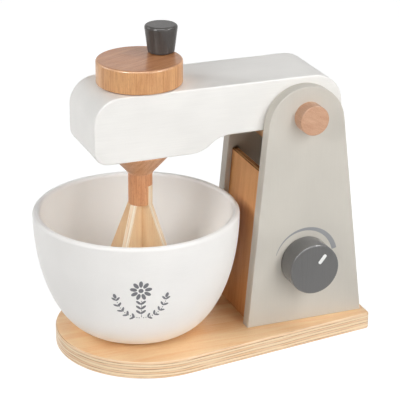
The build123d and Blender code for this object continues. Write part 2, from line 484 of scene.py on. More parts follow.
def smooth(piece: Piece, degrees: float) -> None:
    """Shade a piece smooth across its rounded edges, with its flat faces kept flat.

    Args:
        piece: The piece.
        degrees: The angle from which an edge stays sharp.
    """
    hold(piece)
    bpy.ops.object.shade_smooth_by_angle(angle=math.radians(degrees))
    modify(piece, "WEIGHTED_NORMAL", keep_sharp=True, weight=90)


# Shader groups that several finishes share


class NodeDesk:
    """Adds nodes to one tree and wires them."""

    def __init__(self, tree: bpy.types.NodeTree) -> None:
        """Work in a node tree."""
        self.tree = tree

    def feed(self, node: bpy.types.Node, inputs: dict) -> None:
        """Fill a node's sockets.

        Args:
            node: The node.
            inputs: What goes into its sockets, by name or index: a socket or a plain value.
        """
        for key, value in inputs.items():
            if isinstance(value, Socket):
                self.tree.links.new(value, node.inputs[key])
            else:
                node.inputs[key].default_value = value

    def add(self, kind: str, inputs: dict | None = None, **settings: object) -> bpy.types.Node:
        """Add a node.

        Args:
            kind: The node's type without its ShaderNode prefix.
            inputs: What goes into its sockets.
            settings: The node's own settings.

        Returns:
            The node.
        """
        node = self.tree.nodes.new(f"ShaderNode{kind}")
        for key, value in settings.items():
            setattr(node, key, value)
        self.feed(node, inputs or {})
        return node

    def math(self, operation: str, *values: object, clamp: bool = False) -> Socket:
        """Add a Math node and give its output."""
        return self.add("Math", dict(enumerate(values)), operation=operation, use_clamp=clamp).outputs[0]

    def product(self, *values: object) -> Socket:
        """Multiply two values."""
        return self.math("MULTIPLY", *values)

    def less(self, value: object, taken: object) -> Socket:
        """Take one value from another."""
        return self.math("SUBTRACT", value, taken)

    def noise(self, place: Socket, stretch: object, **inputs: float) -> Socket:
        """Add a noise whose features are stretched along the axes.

        Args:
            place: The position in millimetres.
            stretch: Features per millimetre along each axis.
            inputs: Detail, Roughness or Distortion.

        Returns:
            The noise's value.
        """
        scaled = self.add("VectorMath", {0: place, 1: stretch}, operation="MULTIPLY").outputs[0]
        sockets = {"Vector": scaled, "Scale": 1.0, **{key.capitalize(): v for key, v in inputs.items()}}
        return self.add("TexNoise", sockets).outputs["Fac"]

    def mix(self, factor: object, first: object, second: object, blend: str = "MIX") -> Socket:
        """Mix two colours."""
        node = self.add("Mix", {0: factor, 6: first, 7: second}, data_type="RGBA", blend_type=blend)
        return node.outputs[2]

    def between(self, factor: Socket, first: Socket, second: Socket) -> Socket:
        """Mix two values."""
        return self.add("Mix", {0: factor, 2: first, 3: second}).outputs[0]

    def ramp(
        self, value: object, low: float, high: float, to_low: float = 0.0, to_high: float = 1.0
    ) -> Socket:
        """Map a value from one range to another with soft ends."""
        inputs = {0: value, 1: low, 2: high, 3: to_low, 4: to_high}
        return self.add("MapRange", inputs, interpolation_type="SMOOTHSTEP").outputs[0]

    def facing(self, axis: Sequence[float], low: float, high: float) -> Socket:
        """Give 1 where the surface faces along an axis, either way, and 0 where it faces across.

        Args:
            axis: The axis.
            low: The cosine up to which it counts as facing across.
            high: The cosine from which it counts as facing along.

        Returns:
            The mask.
        """
        inputs = {0: self.add("TexCoord").outputs["Normal"], 1: tuple(Vector(axis).normalized())}
        along = self.add("VectorMath", inputs, operation="DOT_PRODUCT").outputs["Value"]
        return self.ramp(self.math("ABSOLUTE", along), low, high)


class SharedGroup:
    """A node group that takes a place, colours and values, built once for all the finishes that use it."""

    def __init__(self, name: str, colours: Sequence[str] = (), values: Sequence[str] = ()) -> None:
        """Make the group's input sockets.

        Args:
            name: The group's name.
            colours: The names of its colour inputs.
            values: The names of its value inputs.
        """
        self.tree = bpy.data.node_groups.new(name, "ShaderNodeTree")
        kinds = {"Place": "NodeSocketVector"}
        kinds.update({label: "NodeSocketColor" for label in colours})
        kinds.update({label: "NodeSocketFloat" for label in values})
        for label, kind in kinds.items():
            self.tree.interface.new_socket(label, in_out="INPUT", socket_type=kind)
        self.desk = NodeDesk(self.tree)
        self.given = self.tree.nodes.new("NodeGroupInput").outputs

    def give(self, **sockets: Socket) -> bpy.types.NodeTree:
        """Make the group's outputs and wire them.

        Args:
            sockets: What goes out under each name.

        Returns:
            The group's tree.
        """
        for label, socket in sockets.items():
            kind = "NodeSocketColor" if socket.type == "RGBA" else "NodeSocketFloat"
            self.tree.interface.new_socket(label, in_out="OUTPUT", socket_type=kind)
        self.desk.feed(self.tree.nodes.new("NodeGroupOutput"), sockets)
        return self.tree


@cache
def wood_grain() -> bpy.types.NodeTree:
    """Build the grain of lacquered wood, which runs along X of the place it is given.

    Returns:
        The group, with the colour, the height and the wear of the grain.
    """
    group = SharedGroup("wood_grain", ("Light", "Dark"), ("Figure", "Ring width", "Streak", "Fleck"))
    desk, given = group.desk, group.given
    place = given["Place"]
    rings_per_mm = desk.math("DIVIDE", 1.0, given["Ring width"])
    lengthwise, depthwise = (desk.product(rings_per_mm, share) for share in (0.07, 0.22))
    spread = desk.add("CombineXYZ", {0: lengthwise, 1: rings_per_mm, 2: depthwise}).outputs[0]
    figure = desk.noise(place, spread, detail=3.0, roughness=0.5, distortion=0.35)
    fibre = desk.noise(place, (0.06, 1.7, 1.7), detail=4.0, roughness=0.65)
    pores = desk.noise(place, (0.45, 4.5, 4.5), detail=1.0, roughness=0.4)
    fleck = desk.ramp(pores, 0.60, 0.72)
    from_figure = desk.product(desk.less(figure, 0.5), desk.product(given["Figure"], 2.0))
    from_fibre = desk.product(desk.less(fibre, 0.5), given["Streak"])
    tone = desk.math("ADD", desk.math("ADD", from_figure, from_fibre), 0.5, clamp=True)
    colour = desk.mix(tone, given["Light"], given["Dark"])
    flecked = desk.mix(desk.product(fleck, given["Fleck"]), colour, (0.42, 0.22, 0.12, 1), "MULTIPLY")
    return group.give(Colour=flecked, Height=desk.less(fibre, desk.product(fleck, 0.5)), Wear=tone)


@cache
def ply_layers() -> bpy.types.NodeTree:
    """Build the layers that show on a plywood board's edge, stacked along Z of the place it is given.

    Returns:
        The group, with the colour and the height of the layers.
    """
    group = SharedGroup("ply_layers", ("Long grain", "End grain", "Glue line"), ("Ply",))
    desk, given = group.desk, group.given
    place = given["Place"]
    wander = desk.noise(place, (0.022, 0.022, 0.35), detail=3.0)
    level = desk.add("SeparateXYZ", {0: place}).outputs[2]
    waved = desk.math("ADD", level, desk.product(desk.less(wander, 0.5), 1.6))
    count = desk.math("DIVIDE", waved, given["Ply"])
    pair = desk.math("PINGPONG", desk.math("ADD", count, 0.5), 1.0)
    crossed = desk.ramp(pair, 0.42, 0.58)
    seam = desk.math("ABSOLUTE", desk.less(desk.math("FRACT", count), 0.5))
    line = desk.ramp(seam, 0.37, 0.47)
    patches = desk.noise(place, (0.06, 0.06, 0.9), detail=3.0, roughness=0.6)
    speckle = desk.noise(place, (1.6, 1.6, 1.9), detail=2.0, roughness=0.6)
    strength = desk.product(crossed, desk.ramp(patches, 0.3, 0.7, 0.35, 1.0))
    base = desk.mix(strength, given["Long grain"], given["End grain"])
    speckled = desk.mix(desk.product(desk.ramp(speckle, 0.45, 0.75), 0.35), base, given["End grain"])
    glue = desk.product(line, desk.ramp(patches, 0.35, 0.60, 0.30, 1.0))
    colour = desk.mix(glue, speckled, given["Glue line"])
    return group.give(Colour=colour, Height=desk.less(desk.product(speckle, 0.5), line))


@cache
def paint_skin() -> bpy.types.NodeTree:
    """Build the surface of sprayed paint on wood: a fine stipple, grain that shows through, and slow tone.

    Returns:
        The group, with the height, the tone and the wear of the skin.
    """
    group = SharedGroup("paint_skin", values=("Stipple", "Grain"))
    desk, given = group.desk, group.given
    place = given["Place"]
    stipple = desk.noise(place, (1.1, 1.1, 1.1), detail=3.0, roughness=0.55)
    grain = desk.noise(place, (0.05, 1.2, 1.2), detail=3.0, roughness=0.6)
    cloud = desk.noise(place, (0.02, 0.03, 0.03), detail=2.0)
    height = desk.math("ADD", desk.product(stipple, given["Stipple"]), desk.product(grain, given["Grain"]))
    tone = desk.math("ADD", desk.product(cloud, 0.7), desk.product(grain, 0.3))
    return group.give(Height=height, Tone=tone, Wear=cloud)


# Finishes: their colours are given as a screen shows them, 0 to 255


def grey(value: float) -> tuple[float, ...]:
    """Give a linear grey, with alpha, for a shader."""
    return (value, value, value, 1)


def paint_colour(shown: Colour, share: Sequence[float] = (1.0, 1.0, 1.0)) -> tuple[float, ...]:
    """Turn a colour as a screen shows it into the linear one, with alpha, that a shader takes.

    Args:
        shown: Red, green and blue, 0 to 255.
        share: What the linear red, green and blue are multiplied by.

    Returns:
        The shader's colour, with no channel over 1.
    """
    scaled = [value / 255 for value in shown]
    linear = [v / 12.92 if v <= 0.04045 else ((v + 0.055) / 1.055) ** 2.4 for v in scaled]
    return (*(min(1.0, value * part) for value, part in zip(linear, share)), 1)


class Grain(Enum):
    """The way a piece's grain runs: where the X, Y and Z of its pattern point."""

    ALONG_X = ((1, 0, 0), (0, 1, 0), (0, 0, 1))
    ALONG_Y = ((0, 1, 0), (-1, 0, 0), (0, 0, 1))
    UPRIGHT = ((0, 0, 1), (1, 0, 0), (0, 1, 0))


@dataclass(frozen=True)
class Pattern:
    """Where a finish's pattern is centred and which way its X, Y and Z point on the piece."""

    centre: Spot = (0.0, 0.0, 0.0)
    axes: Sequence[Sequence[float]] = Grain.ALONG_X.value

    def place(self, desk: NodeDesk) -> Socket:
        """Give the position on the piece, in millimetres, as the pattern sees it.

        Args:
            desk: The desk of the material.

        Returns:
            The position.
        """
        spot = desk.add("TexCoord").outputs["Object"]
        turn = Matrix([Vector(axis).normalized() for axis in self.axes]).transposed().to_euler()
        inputs = {
            "Vector": spot, "Location": Vector(self.centre) * MM, "Rotation": turn, "Scale": (MM, MM, MM),
        }
        return desk.add("Mapping", inputs, vector_type="TEXTURE").outputs[0]


@dataclass(frozen=True)
class Look:
    """What a finish draws on its surface: its colour, where it is duller, and its relief."""

    colour: Socket
    wear: Socket
    height: Socket


@dataclass(frozen=True, kw_only=True)
class Finish:
    """What all finishes share: a fresh material that shows what the finish draws, with a coat over it."""

    name: str
    roughness: float = 0.45
    wear_range: tuple[float, float] = (0.3, 0.7)
    roughened: tuple[float, float] = (-0.04, 0.05)
    depth: float = 0.03
    metallic: float = 0.0
    lacquer: float = 0.0
    lacquer_roughness: float = 0.1
    shine: float = 0.5

    def make(self, pattern: Pattern) -> bpy.types.Material:
        """Make the material for a piece.

        Args:
            pattern: Where the finish's pattern is centred and how it runs.

        Returns:
            The material.
        """
        material = bpy.data.materials.new(self.name)
        material.use_nodes = True
        desk = NodeDesk(material.node_tree)
        look = self.draw(desk, pattern)
        low, high = (self.roughness + change for change in self.roughened)
        roughness = desk.ramp(look.wear, *self.wear_range, low, high)
        bump = desk.add("Bump", {"Height": look.height, "Strength": 1.0, "Distance": self.depth * MM})
        desk.feed(material.node_tree.nodes["Principled BSDF"], {
            "Base Color": look.colour, "Roughness": roughness, "Normal": bump.outputs[0],
            "Metallic": self.metallic, "Specular IOR Level": self.shine,
            "Coat Weight": self.lacquer, "Coat Roughness": self.lacquer_roughness,
        })
        return material

    def draw(self, desk: NodeDesk, pattern: Pattern) -> Look:
        """Draw what the surface shows; each kind of finish has its own way."""
        raise NotImplementedError


@dataclass(frozen=True, kw_only=True)
class WoodFinish(Finish):
    """Clear-lacquered solid wood."""

    light: Colour
    dark: Colour
    figure: float = 0.8
    ring_width: float = 4.0
    streak: float = 2.0
    fleck: float = 0.35
    roughness: float = 0.42
    wear_range: tuple[float, float] = (0.0, 1.0)
    roughened: tuple[float, float] = (-0.05, 0.07)
    lacquer: float = 0.25
    lacquer_roughness: float = 0.18
    shine: float = 0.4

    def grain(
        self, desk: NodeDesk, place: Socket, tint: Colour = (1.0, 1.0, 1.0)
    ) -> bpy.types.NodeOutputs:
        """Add the grain group with this wood's values.

        Args:
            desk: The desk of the material.
            place: The position that the grain sees.
            tint: What its colours are multiplied by.

        Returns:
            The group's outputs.
        """
        inputs = {
            "Place": place, "Light": paint_colour(self.light, tint), "Dark": paint_colour(self.dark, tint),
            "Figure": self.figure, "Ring width": self.ring_width, "Streak": self.streak, "Fleck": self.fleck,
        }
        return desk.add("Group", inputs, node_tree=wood_grain()).outputs

    def draw(self, desk: NodeDesk, pattern: Pattern) -> Look:
        """Draw the grain."""
        grain = self.grain(desk, pattern.place(desk))
        return Look(grain["Colour"], grain["Wear"], grain["Height"])


@dataclass(frozen=True, kw_only=True)
class DiscFinish(WoodFinish):
    """Clear-lacquered solid wood whose upper face shows another cut than its side, tinted redder and darker;
    the darkening is painted shade.
    """

    lacquer_roughness: float = 0.15
    # The upper face's colours are multiplied down: painted shade, and a redder tint.
    top_shade_and_tint: Colour = (0.76, 0.65, 0.65)
    top_axes: Sequence[Sequence[float]] = ((0.9, 0.45, 0), (-0.45, 0.9, 0), (0, 0, 1))

    def draw(self, desk: NodeDesk, pattern: Pattern) -> Look:
        """Draw the side's grain and, on the flat faces, the top's, darker there as painted shade.

        Args:
            desk: The desk of the material.
            pattern: Where the side's grain is centred and how it runs.

        Returns:
            The look.
        """
        side = self.grain(desk, pattern.place(desk))
        top = self.grain(desk, Pattern(pattern.centre, self.top_axes).place(desk), self.top_shade_and_tint)
        face = desk.facing((0, 0, 1), 0.75, 0.95)
        colour = desk.mix(face, side["Colour"], top["Colour"])
        return Look(colour, side["Wear"], desk.between(face, side["Height"], top["Height"]))


@dataclass(frozen=True, kw_only=True)
class PlyFinish(WoodFinish):
    """Clear-lacquered plywood: veneer on the faces, layers on the edges."""

    roughened: tuple[float, float] = (0.08, 0.0)
    lacquer_roughness: float = 0.2
    long_grain: Colour
    end_grain: Colour
    glue_line: Colour
    ply: float = 5.0 / 3

    def draw(self, desk: NodeDesk, pattern: Pattern) -> Look:
        """Draw the layers, stacked along the pattern's Z, and the veneer on the faces.

        Args:
            desk: The desk of the material.
            pattern: Where the board's middle is and how it lies.

        Returns:
            The look.
        """
        place = pattern.place(desk)
        veneer = self.grain(desk, place)
        inputs = {
            "Place": place, "Long grain": paint_colour(self.long_grain), "Ply": self.ply,
            "End grain": paint_colour(self.end_grain), "Glue line": paint_colour(self.glue_line),
        }
        layers = desk.add("Group", inputs, node_tree=ply_layers()).outputs
        face = desk.facing(pattern.axes[2], 0.82, 0.97)
        colour = desk.mix(face, layers["Colour"], veneer["Colour"])
        return Look(colour, face, desk.between(face, layers["Height"], veneer["Height"]))


@dataclass(frozen=True, kw_only=True)
class PaintFinish(Finish):
    """Sprayed paint on wood."""

    colour: Colour
    variation: float = 0.04
    stipple: float = 1.0
    grain: float = 0.4
    depth: float = 0.02
    shine: float = 0.45

    def draw(self, desk: NodeDesk, pattern: Pattern) -> Look:
        """Draw the paint, a little darker and lighter from place to place.

        Args:
            desk: The desk of the material.
            pattern: Where the grain under the paint is centred and how it runs.

        Returns:
            The look.
        """
        inputs = {"Place": pattern.place(desk), "Stipple": self.stipple, "Grain": self.grain}
        skin = desk.add("Group", inputs, node_tree=paint_skin()).outputs
        darker, lighter = (
            paint_colour(self.colour, [1 + change] * 3) for change in (-self.variation, self.variation)
        )
        colour = desk.mix(desk.ramp(skin["Tone"], 0.3, 0.7), darker, lighter)
        return Look(colour, skin["Wear"], skin["Height"])


@dataclass(frozen=True, kw_only=True)
class SteelFinish(Finish):
    """Zinc-plated steel with a fine turned texture."""

    colour: Colour
    dullest: float = 0.82
    roughness: float = 0.35
    roughened: tuple[float, float] = (-0.08, 0.1)
    depth: float = 0.01
    metallic: float = 1.0

    def draw(self, desk: NodeDesk, pattern: Pattern) -> Look:
        """Draw the clouded metal and its fine scratches.

        Args:
            desk: The desk of the material.
            pattern: Where the texture is centred and how it runs.

        Returns:
            The look.
        """
        place = pattern.place(desk)
        cloud = desk.noise(place, (0.5, 0.5, 0.5), detail=2.0)
        scratch = desk.noise(place, (0.4, 6.0, 6.0), detail=2.0)
        dull, bright = (paint_colour(self.colour, [share] * 3) for share in (self.dullest, 1.0))
        return Look(desk.mix(cloud, dull, bright), scratch, scratch)


BASE_PLY = PlyFinish(
    name="base_plywood", light=(255, 224, 180), dark=(242, 188, 134), figure=0.9, ring_width=8.0,
    streak=1.5, fleck=0.15, shine=0.3, long_grain=(248, 224, 190), end_grain=(234, 194, 150),
    glue_line=(162, 110, 74), ply=BASE_TOP / 7,
)
BOARD_PLY = PlyFinish(
    name="column_plywood", light=(242, 187, 130), dark=(208, 142, 88), figure=0.6, ring_width=6.0,
    streak=1.2, fleck=0.12, lacquer=0.0, shine=0.05, long_grain=(220, 170, 116), end_grain=(150, 98, 58),
    glue_line=(84, 50, 30),
)
BLADE_PLY = PlyFinish(
    name="blade_plywood", light=(255, 228, 188), dark=(242, 200, 154), streak=1.4, fleck=0.12,
    long_grain=(255, 240, 216), end_grain=(250, 222, 186), glue_line=(214, 170, 124),
)
RAIL_BEECH = WoodFinish(name="rail_beech", light=(250, 208, 156), dark=(232, 178, 122))
DISC_BEECH = DiscFinish(
    name="disc_beech", light=(230, 176, 120), dark=(196, 134, 80), figure=0.9, ring_width=3.2, streak=2.2,
    lacquer=0.4,
)
RED_BEECH = WoodFinish(
    name="red_beech", light=(235, 175, 127), dark=(208, 138, 92), ring_width=2.6, streak=1.8, fleck=0.4
)
COLLAR_BEECH = WoodFinish(
    name="collar_beech", light=(238, 184, 142), dark=(208, 146, 104), figure=0.9, ring_width=2.6, fleck=0.4
)
CAP_BEECH = WoodFinish(
    name="cap_beech", light=(216, 172, 140), dark=(192, 142, 110), ring_width=2.2, streak=1.8, fleck=0.3
)
ARM_PAINT = PaintFinish(name="head_white", colour=(244, 242, 238), roughness=0.42)
BOWL_PAINT = PaintFinish(name="bowl_white", colour=(246, 244, 241), variation=0.02, roughness=0.48)
# The bowl's inside is given a lighter white than its outside: painted light on the shaded inside.
BOWL_INSIDE_PAINTED_LIGHT = PaintFinish(name="bowl_inside_painted_light", colour=(254, 253, 251), variation=0.01, roughness=0.5)
PANEL_PAINT = PaintFinish(name="panel_grey", colour=(207, 202, 192), variation=0.03, roughness=0.5)
DIAL_PAINT = PaintFinish(
    name="dial_grey", colour=(97, 96, 95), variation=0.12, roughness=0.4, grain=0.8, lacquer=1.0,
    lacquer_roughness=0.05, shine=0.15,
)
KNOB_PAINT = PaintFinish(
    name="knob_grey", colour=(76, 73, 71), variation=0.35, roughness=0.4, grain=1.8, depth=0.05,
    lacquer=0.42, lacquer_roughness=0.03, shine=0.05,
)
MARK_PAINT = PaintFinish(name="mark_white", colour=(244, 244, 242), roughness=0.5)
PRINT_GREY = PaintFinish(name="print_grey", colour=(152, 153, 155), roughness=0.5, stipple=0.5)
PRINT_DARK = PaintFinish(name="print_dark", colour=(118, 118, 122), roughness=0.55, stipple=0.5)
ZINC = SteelFinish(name="zinc_screw", colour=(196, 194, 186))


# The toy's sub-assemblies


class SubAssembly:
    """What every sub-assembly does with a finished piece."""

    body: str = "stand"

    def fit(
        self, piece: Piece, finish: Finish, pattern: Pattern, slot: str, *nodes: str,
        body: str = "", sharp: float = 32.0,
    ) -> None:
        """Shade and dress a piece, set it on its body and let it stand for its CAD nodes.

        Args:
            piece: The finished piece.
            finish: Its finish.
            pattern: Where the finish's pattern is centred and how it runs.
            slot: A material slot's name; not used.
            nodes: The CAD nodes that it stands for.
            body: The body, where it isn't the sub-assembly's own.
            sharp: The angle in degrees from which an edge stays sharp.
        """
        smooth(piece, sharp)
        piece.data.materials.clear()
        piece.data.materials.append(finish.make(pattern))
        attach(piece, body or self.body)
        if nodes:
            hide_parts(*nodes)
        LOG.info("%s on %s: %d faces", piece.name, body or self.body, len(piece.data.polygons))

    def dress_node(self, node: str, finish: Finish, pattern: Pattern) -> None:
        """Give a CAD node that stays a better material.

        Args:
            node: The node's name.
            finish: Its finish.
            pattern: Where the finish's pattern is centred and how it runs.
        """
        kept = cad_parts[node]
        kept.data.materials.clear()
        kept.data.materials.append(finish.make(pattern))
        LOG.info("%s stays as built", node)


@dataclass
class Base(SubAssembly):
    """The teardrop base board and the screws under it."""

    bowl_end_radius: float = 61.5
    bowl_end_x: float = 6.9
    rear_x: float = 153.4
    rear_half_width: float = 42.4
    corner_radius: float = 2.5
    edge_radius: float = 1.2
    screw_y: float = 30.8
    screw_radius: float = 1.75
    head_radius: float = 3.5
    head_height: float = 2.6
    recess: float = 0.4

    def outline(self) -> list[Corner]:
        """Give the corners of the teardrop: two share the bowl end's circle, two round the rear.

        Returns:
            The corners in order.
        """
        run = self.rear_x - self.corner_radius - self.bowl_end_x
        rise = self.rear_half_width - self.corner_radius
        reach = math.hypot(run, rise)
        facing = math.atan2(rise, run) + math.acos((self.bowl_end_radius - self.corner_radius) / reach)
        front_x = self.bowl_end_x - self.bowl_end_radius
        front_y, rear_y = (
            (self.bowl_end_radius - (x - self.bowl_end_x) * math.cos(facing)) / math.sin(facing)
            for x in (front_x, self.rear_x)
        )
        return [
            Corner(self.rear_x, -rear_y, self.corner_radius),
            Corner(self.rear_x, rear_y, self.corner_radius),
            Corner(front_x, front_y, self.bowl_end_radius),
            Corner(front_x, -front_y, self.bowl_end_radius),
        ]

    def countersink(self, board: Piece, x: float, y: float) -> None:
        """Cut one screw's hole: the way in, the cone and the shank.

        Args:
            board: The base board.
            x: The screw's X.
            y: The screw's Y.
        """
        bore(board, (x, y, 0.0), self.head_radius, self.recess)
        cone_foot = (x, y, self.recess)
        cut(board, turned_bar(
            "tool_cone", cone_foot, self.head_radius, self.head_height, far_radius=self.screw_radius
        ))
        bore(board, (x, y, 2 * OVERLAP), self.screw_radius, BASE_TOP)

    def build(self) -> None:
        """Model the board, round its rims, sink the screws and dress it all."""
        board = slab(
            "plywood_base", self.outline(), 0.0, BASE_TOP, self.edge_radius, plane=DrawingPlane.FLOOR
        )
        for x in SCREW_XS:
            for y in (-self.screw_y, self.screw_y):
                self.countersink(board, x, y)
        self.fit(board, BASE_PLY, Pattern(), "base_plywood", "base_board")
        self.dress_node("base_screws", ZINC, Pattern(axes=Grain.UPRIGHT.value))


@dataclass
class Column(SubAssembly):
    """The two side panels, the boards between them, the rest rail, and the axle with its caps."""

    front_x: float = 66.0
    rear_x: float = 149.6
    arc_x: float = 105.4
    arc_height: float = 138.6
    arc_radius: float = 27.0
    inner_y: float = 26.3
    outer_y: float = 35.3
    panel_edge: float = 0.7
    board_setback: float = 3.7
    board_length: float = 105.4
    board_edge: float = 0.25
    groove_depth: float = 3.0
    groove_rounding: float = 0.499
    glue_clearance: float = 0.1
    rail_x: float = 95.7
    rail_top: float = 147.8
    rail_height: float = 20.5
    axle_radius: float = 5.0
    cap_radius: float = 10.0
    cap_length: float = 10.0
    cap_bore: float = 7.0
    cap_edge: float = 0.6
    dial_screw_hole: float = 1.83
    panel_pilot_depth: float = 20.0
    panel_grain_z: float = 80.0
    board_grain_rise: float = 50.0
    cap_pattern: Pattern = Pattern((112.3, 3.0, 157.4), ((0, 1, 0), (0.45, 0, 1), (1, 0, -0.45)))

    def lean(self, rear: bool) -> float:
        """Give the angle between a panel's leaning edge and the vertical.

        Args:
            rear: Whether it is the rear edge.

        Returns:
            The angle in radians.
        """
        run = self.rear_x - self.arc_x if rear else self.arc_x - self.front_x
        reach = math.hypot(run, self.arc_height)
        return math.atan2(run, self.arc_height) - math.asin(self.arc_radius / reach)

    def board_ways(self, rear: bool) -> tuple[Vector, Vector]:
        """Give the ways up along a column board and inward across it, in the XZ plane.

        Args:
            rear: Whether it is the rear board.

        Returns:
            The two ways.
        """
        lean, inward = self.lean(rear), -1 if rear else 1
        climb = Vector((inward * math.sin(lean), math.cos(lean)))
        return climb, Vector((inward * math.cos(lean), -math.sin(lean)))

    def panel_outline(self) -> list[Corner]:
        """Give a side panel's corners: its foot, and the apex that the round top rounds.

        Returns:
            The corners in order.
        """
        left, right = math.tan(self.lean(False)), math.tan(self.lean(True))
        height = (self.rear_x - self.front_x) / (left + right)
        apex = Corner(self.front_x + left * height, BASE_TOP + height, self.arc_radius)
        return [Corner(self.front_x, BASE_TOP), Corner(self.rear_x, BASE_TOP), apex]

    def board_outline(self, rear: bool, extra: float = 0.0, round_top: bool = False) -> list[Corner]:
        """Give a column board's corners in the XZ plane.

        Args:
            rear: Whether it is the rear board.
            extra: Extra thickness on each face, for the groove.
            round_top: Whether the top is round, as a groove's is.

        Returns:
            The corners in order.
        """
        climb, across = self.board_ways(rear)
        width = BOARD_THICKNESS + 2 * extra
        outer = (self.rear_x if rear else self.front_x) + (self.board_setback - extra) / across.x
        inner = outer + width / across.x
        length, radius = self.board_length, 0.0
        if round_top:
            length, radius = self.board_length + width / 2, self.groove_rounding * width
        top = Vector((outer, BASE_TOP)) + climb * length
        far = top + across * width
        corners = [
            Corner(outer, BASE_TOP), Corner(inner, BASE_TOP),
            Corner(far.x, far.y, radius), Corner(top.x, top.y, radius),
        ]
        return corners[::-1] if rear else corners

    def rail_outline(self, extra: float = 0.0) -> list[Corner]:
        """Give the rest rail's corners, with extra room on each face."""
        low_z, high_x = self.rail_top - self.rail_height, self.rail_x + BOARD_THICKNESS
        return box_corners(self.rail_x - extra, low_z - extra, high_x + extra, self.rail_top + extra)

    def panel(self) -> Piece:
        """Model the front panel: outline, soft rims, stopped grooves, pilot holes and the axle's hole.

        Returns:
            The panel.
        """
        panel = slab(
            "panel_front", self.panel_outline(), -self.outer_y, -self.inner_y, self.panel_edge, rim_steps=4
        )
        low, high = -self.inner_y - self.groove_depth, -self.inner_y + OVERLAP
        grooves = [self.board_outline(rear, self.glue_clearance, True) for rear in (False, True)]
        for outline in (*grooves, self.rail_outline(self.glue_clearance)):
            cut(panel, slab("tool_groove", outline, low, high))
        for x in SCREW_XS:
            foot = (x, -(self.inner_y + self.outer_y) / 2, BASE_TOP)
            bore(panel, foot, PILOT_RADIUS, self.panel_pilot_depth)
        self.bore_through(panel, AXLE_Z, self.axle_radius)
        return panel

    def bore_through(self, panel: Piece, z: float, radius: float) -> None:
        """Bore a hole through the front panel, at the axle's X."""
        through = self.outer_y - self.inner_y + OVERLAP
        bore(panel, (AXLE_X, -self.inner_y, z), radius, through, Lie.FACING_FRONT)

    def build_panels(self) -> None:
        """Model one panel, copy it for the back and drill the front one for the dial's screw."""
        front = self.panel()
        back = copied(front, "panel_back", Matrix.Diagonal((1, -1, 1, 1)))
        self.bore_through(front, DIAL_Z, self.dial_screw_hole)
        for panel, node, y in ((front, "side_panel_front", -1), (back, "side_panel_back", 1)):
            pattern = Pattern((self.arc_x, y * self.outer_y, self.panel_grain_z), Grain.UPRIGHT.value)
            self.fit(panel, PANEL_PAINT, pattern, "panel_paint", node)

    def crosspiece(self, name: str, outline: list[Corner]) -> Piece:
        """Model a board that runs from groove to groove, with its long edges eased.

        Args:
            name: The piece's name.
            outline: Its corners in the XZ plane.

        Returns:
            The piece.
        """
        half = self.inner_y + self.groove_depth - self.glue_clearance
        board = slab(name, outline, -half, half)
        with editing(board):
            pick(board, "EDGE", lambda places: abs(places[0].y - places[1].y) > half)
            bpy.ops.mesh.bevel(offset=self.board_edge * MM, segments=2, affect="EDGES")
        return board

    def build_boards(self) -> None:
        """Model the two thin boards and the rest rail between the panels."""
        for rear, side in ((False, "front"), (True, "rear")):
            corners = self.board_outline(rear)
            climb, across = ((way.x, 0.0, way.y) for way in self.board_ways(rear))
            start = Vector(((corners[0].u + corners[1].u) / 2, 0.0, BASE_TOP))
            middle = tuple(start + Vector(climb) * self.board_grain_rise)
            pattern = Pattern(middle, (climb, (0, 1, 0), across))
            board = self.crosspiece(f"board_{side}", corners)
            self.fit(board, BOARD_PLY, pattern, "thin_plywood", f"column_{side}_board")
        rail = self.crosspiece("rest_rail", self.rail_outline())
        pattern = Pattern((self.rail_x, 0, self.rail_top), Grain.ALONG_Y.value)
        self.fit(rail, RAIL_BEECH, pattern, "beech", "head_rest_rail")

    def build_axle(self) -> None:
        """Model one axle cap, copy it for the back, and dress the rod between them."""
        foot = (AXLE_X, -self.outer_y, AXLE_Z)
        front = turned_bar("axle_cap_front_wood", foot, self.cap_radius, self.cap_length, Lie.FACING_FRONT)
        round_rim(front, ALONG_Y, -self.outer_y - self.cap_length, self.cap_edge, steps=4)
        bore(front, foot, self.axle_radius, self.cap_bore, Lie.FACING_FRONT)
        back = copied(front, "axle_cap_back_wood", Matrix.Diagonal((1, -1, 1, 1)))
        for cap, node in ((front, "axle_cap_front"), (back, "axle_cap_back")):
            self.fit(cap, CAP_BEECH, self.cap_pattern, "beech", node)
        self.dress_node("axle_rod", RED_BEECH, Pattern((AXLE_X, 0, AXLE_Z), Grain.ALONG_Y.value))

    def build(self) -> None:
        """Model the whole column."""
        self.build_panels()
        self.build_boards()
        self.build_axle()


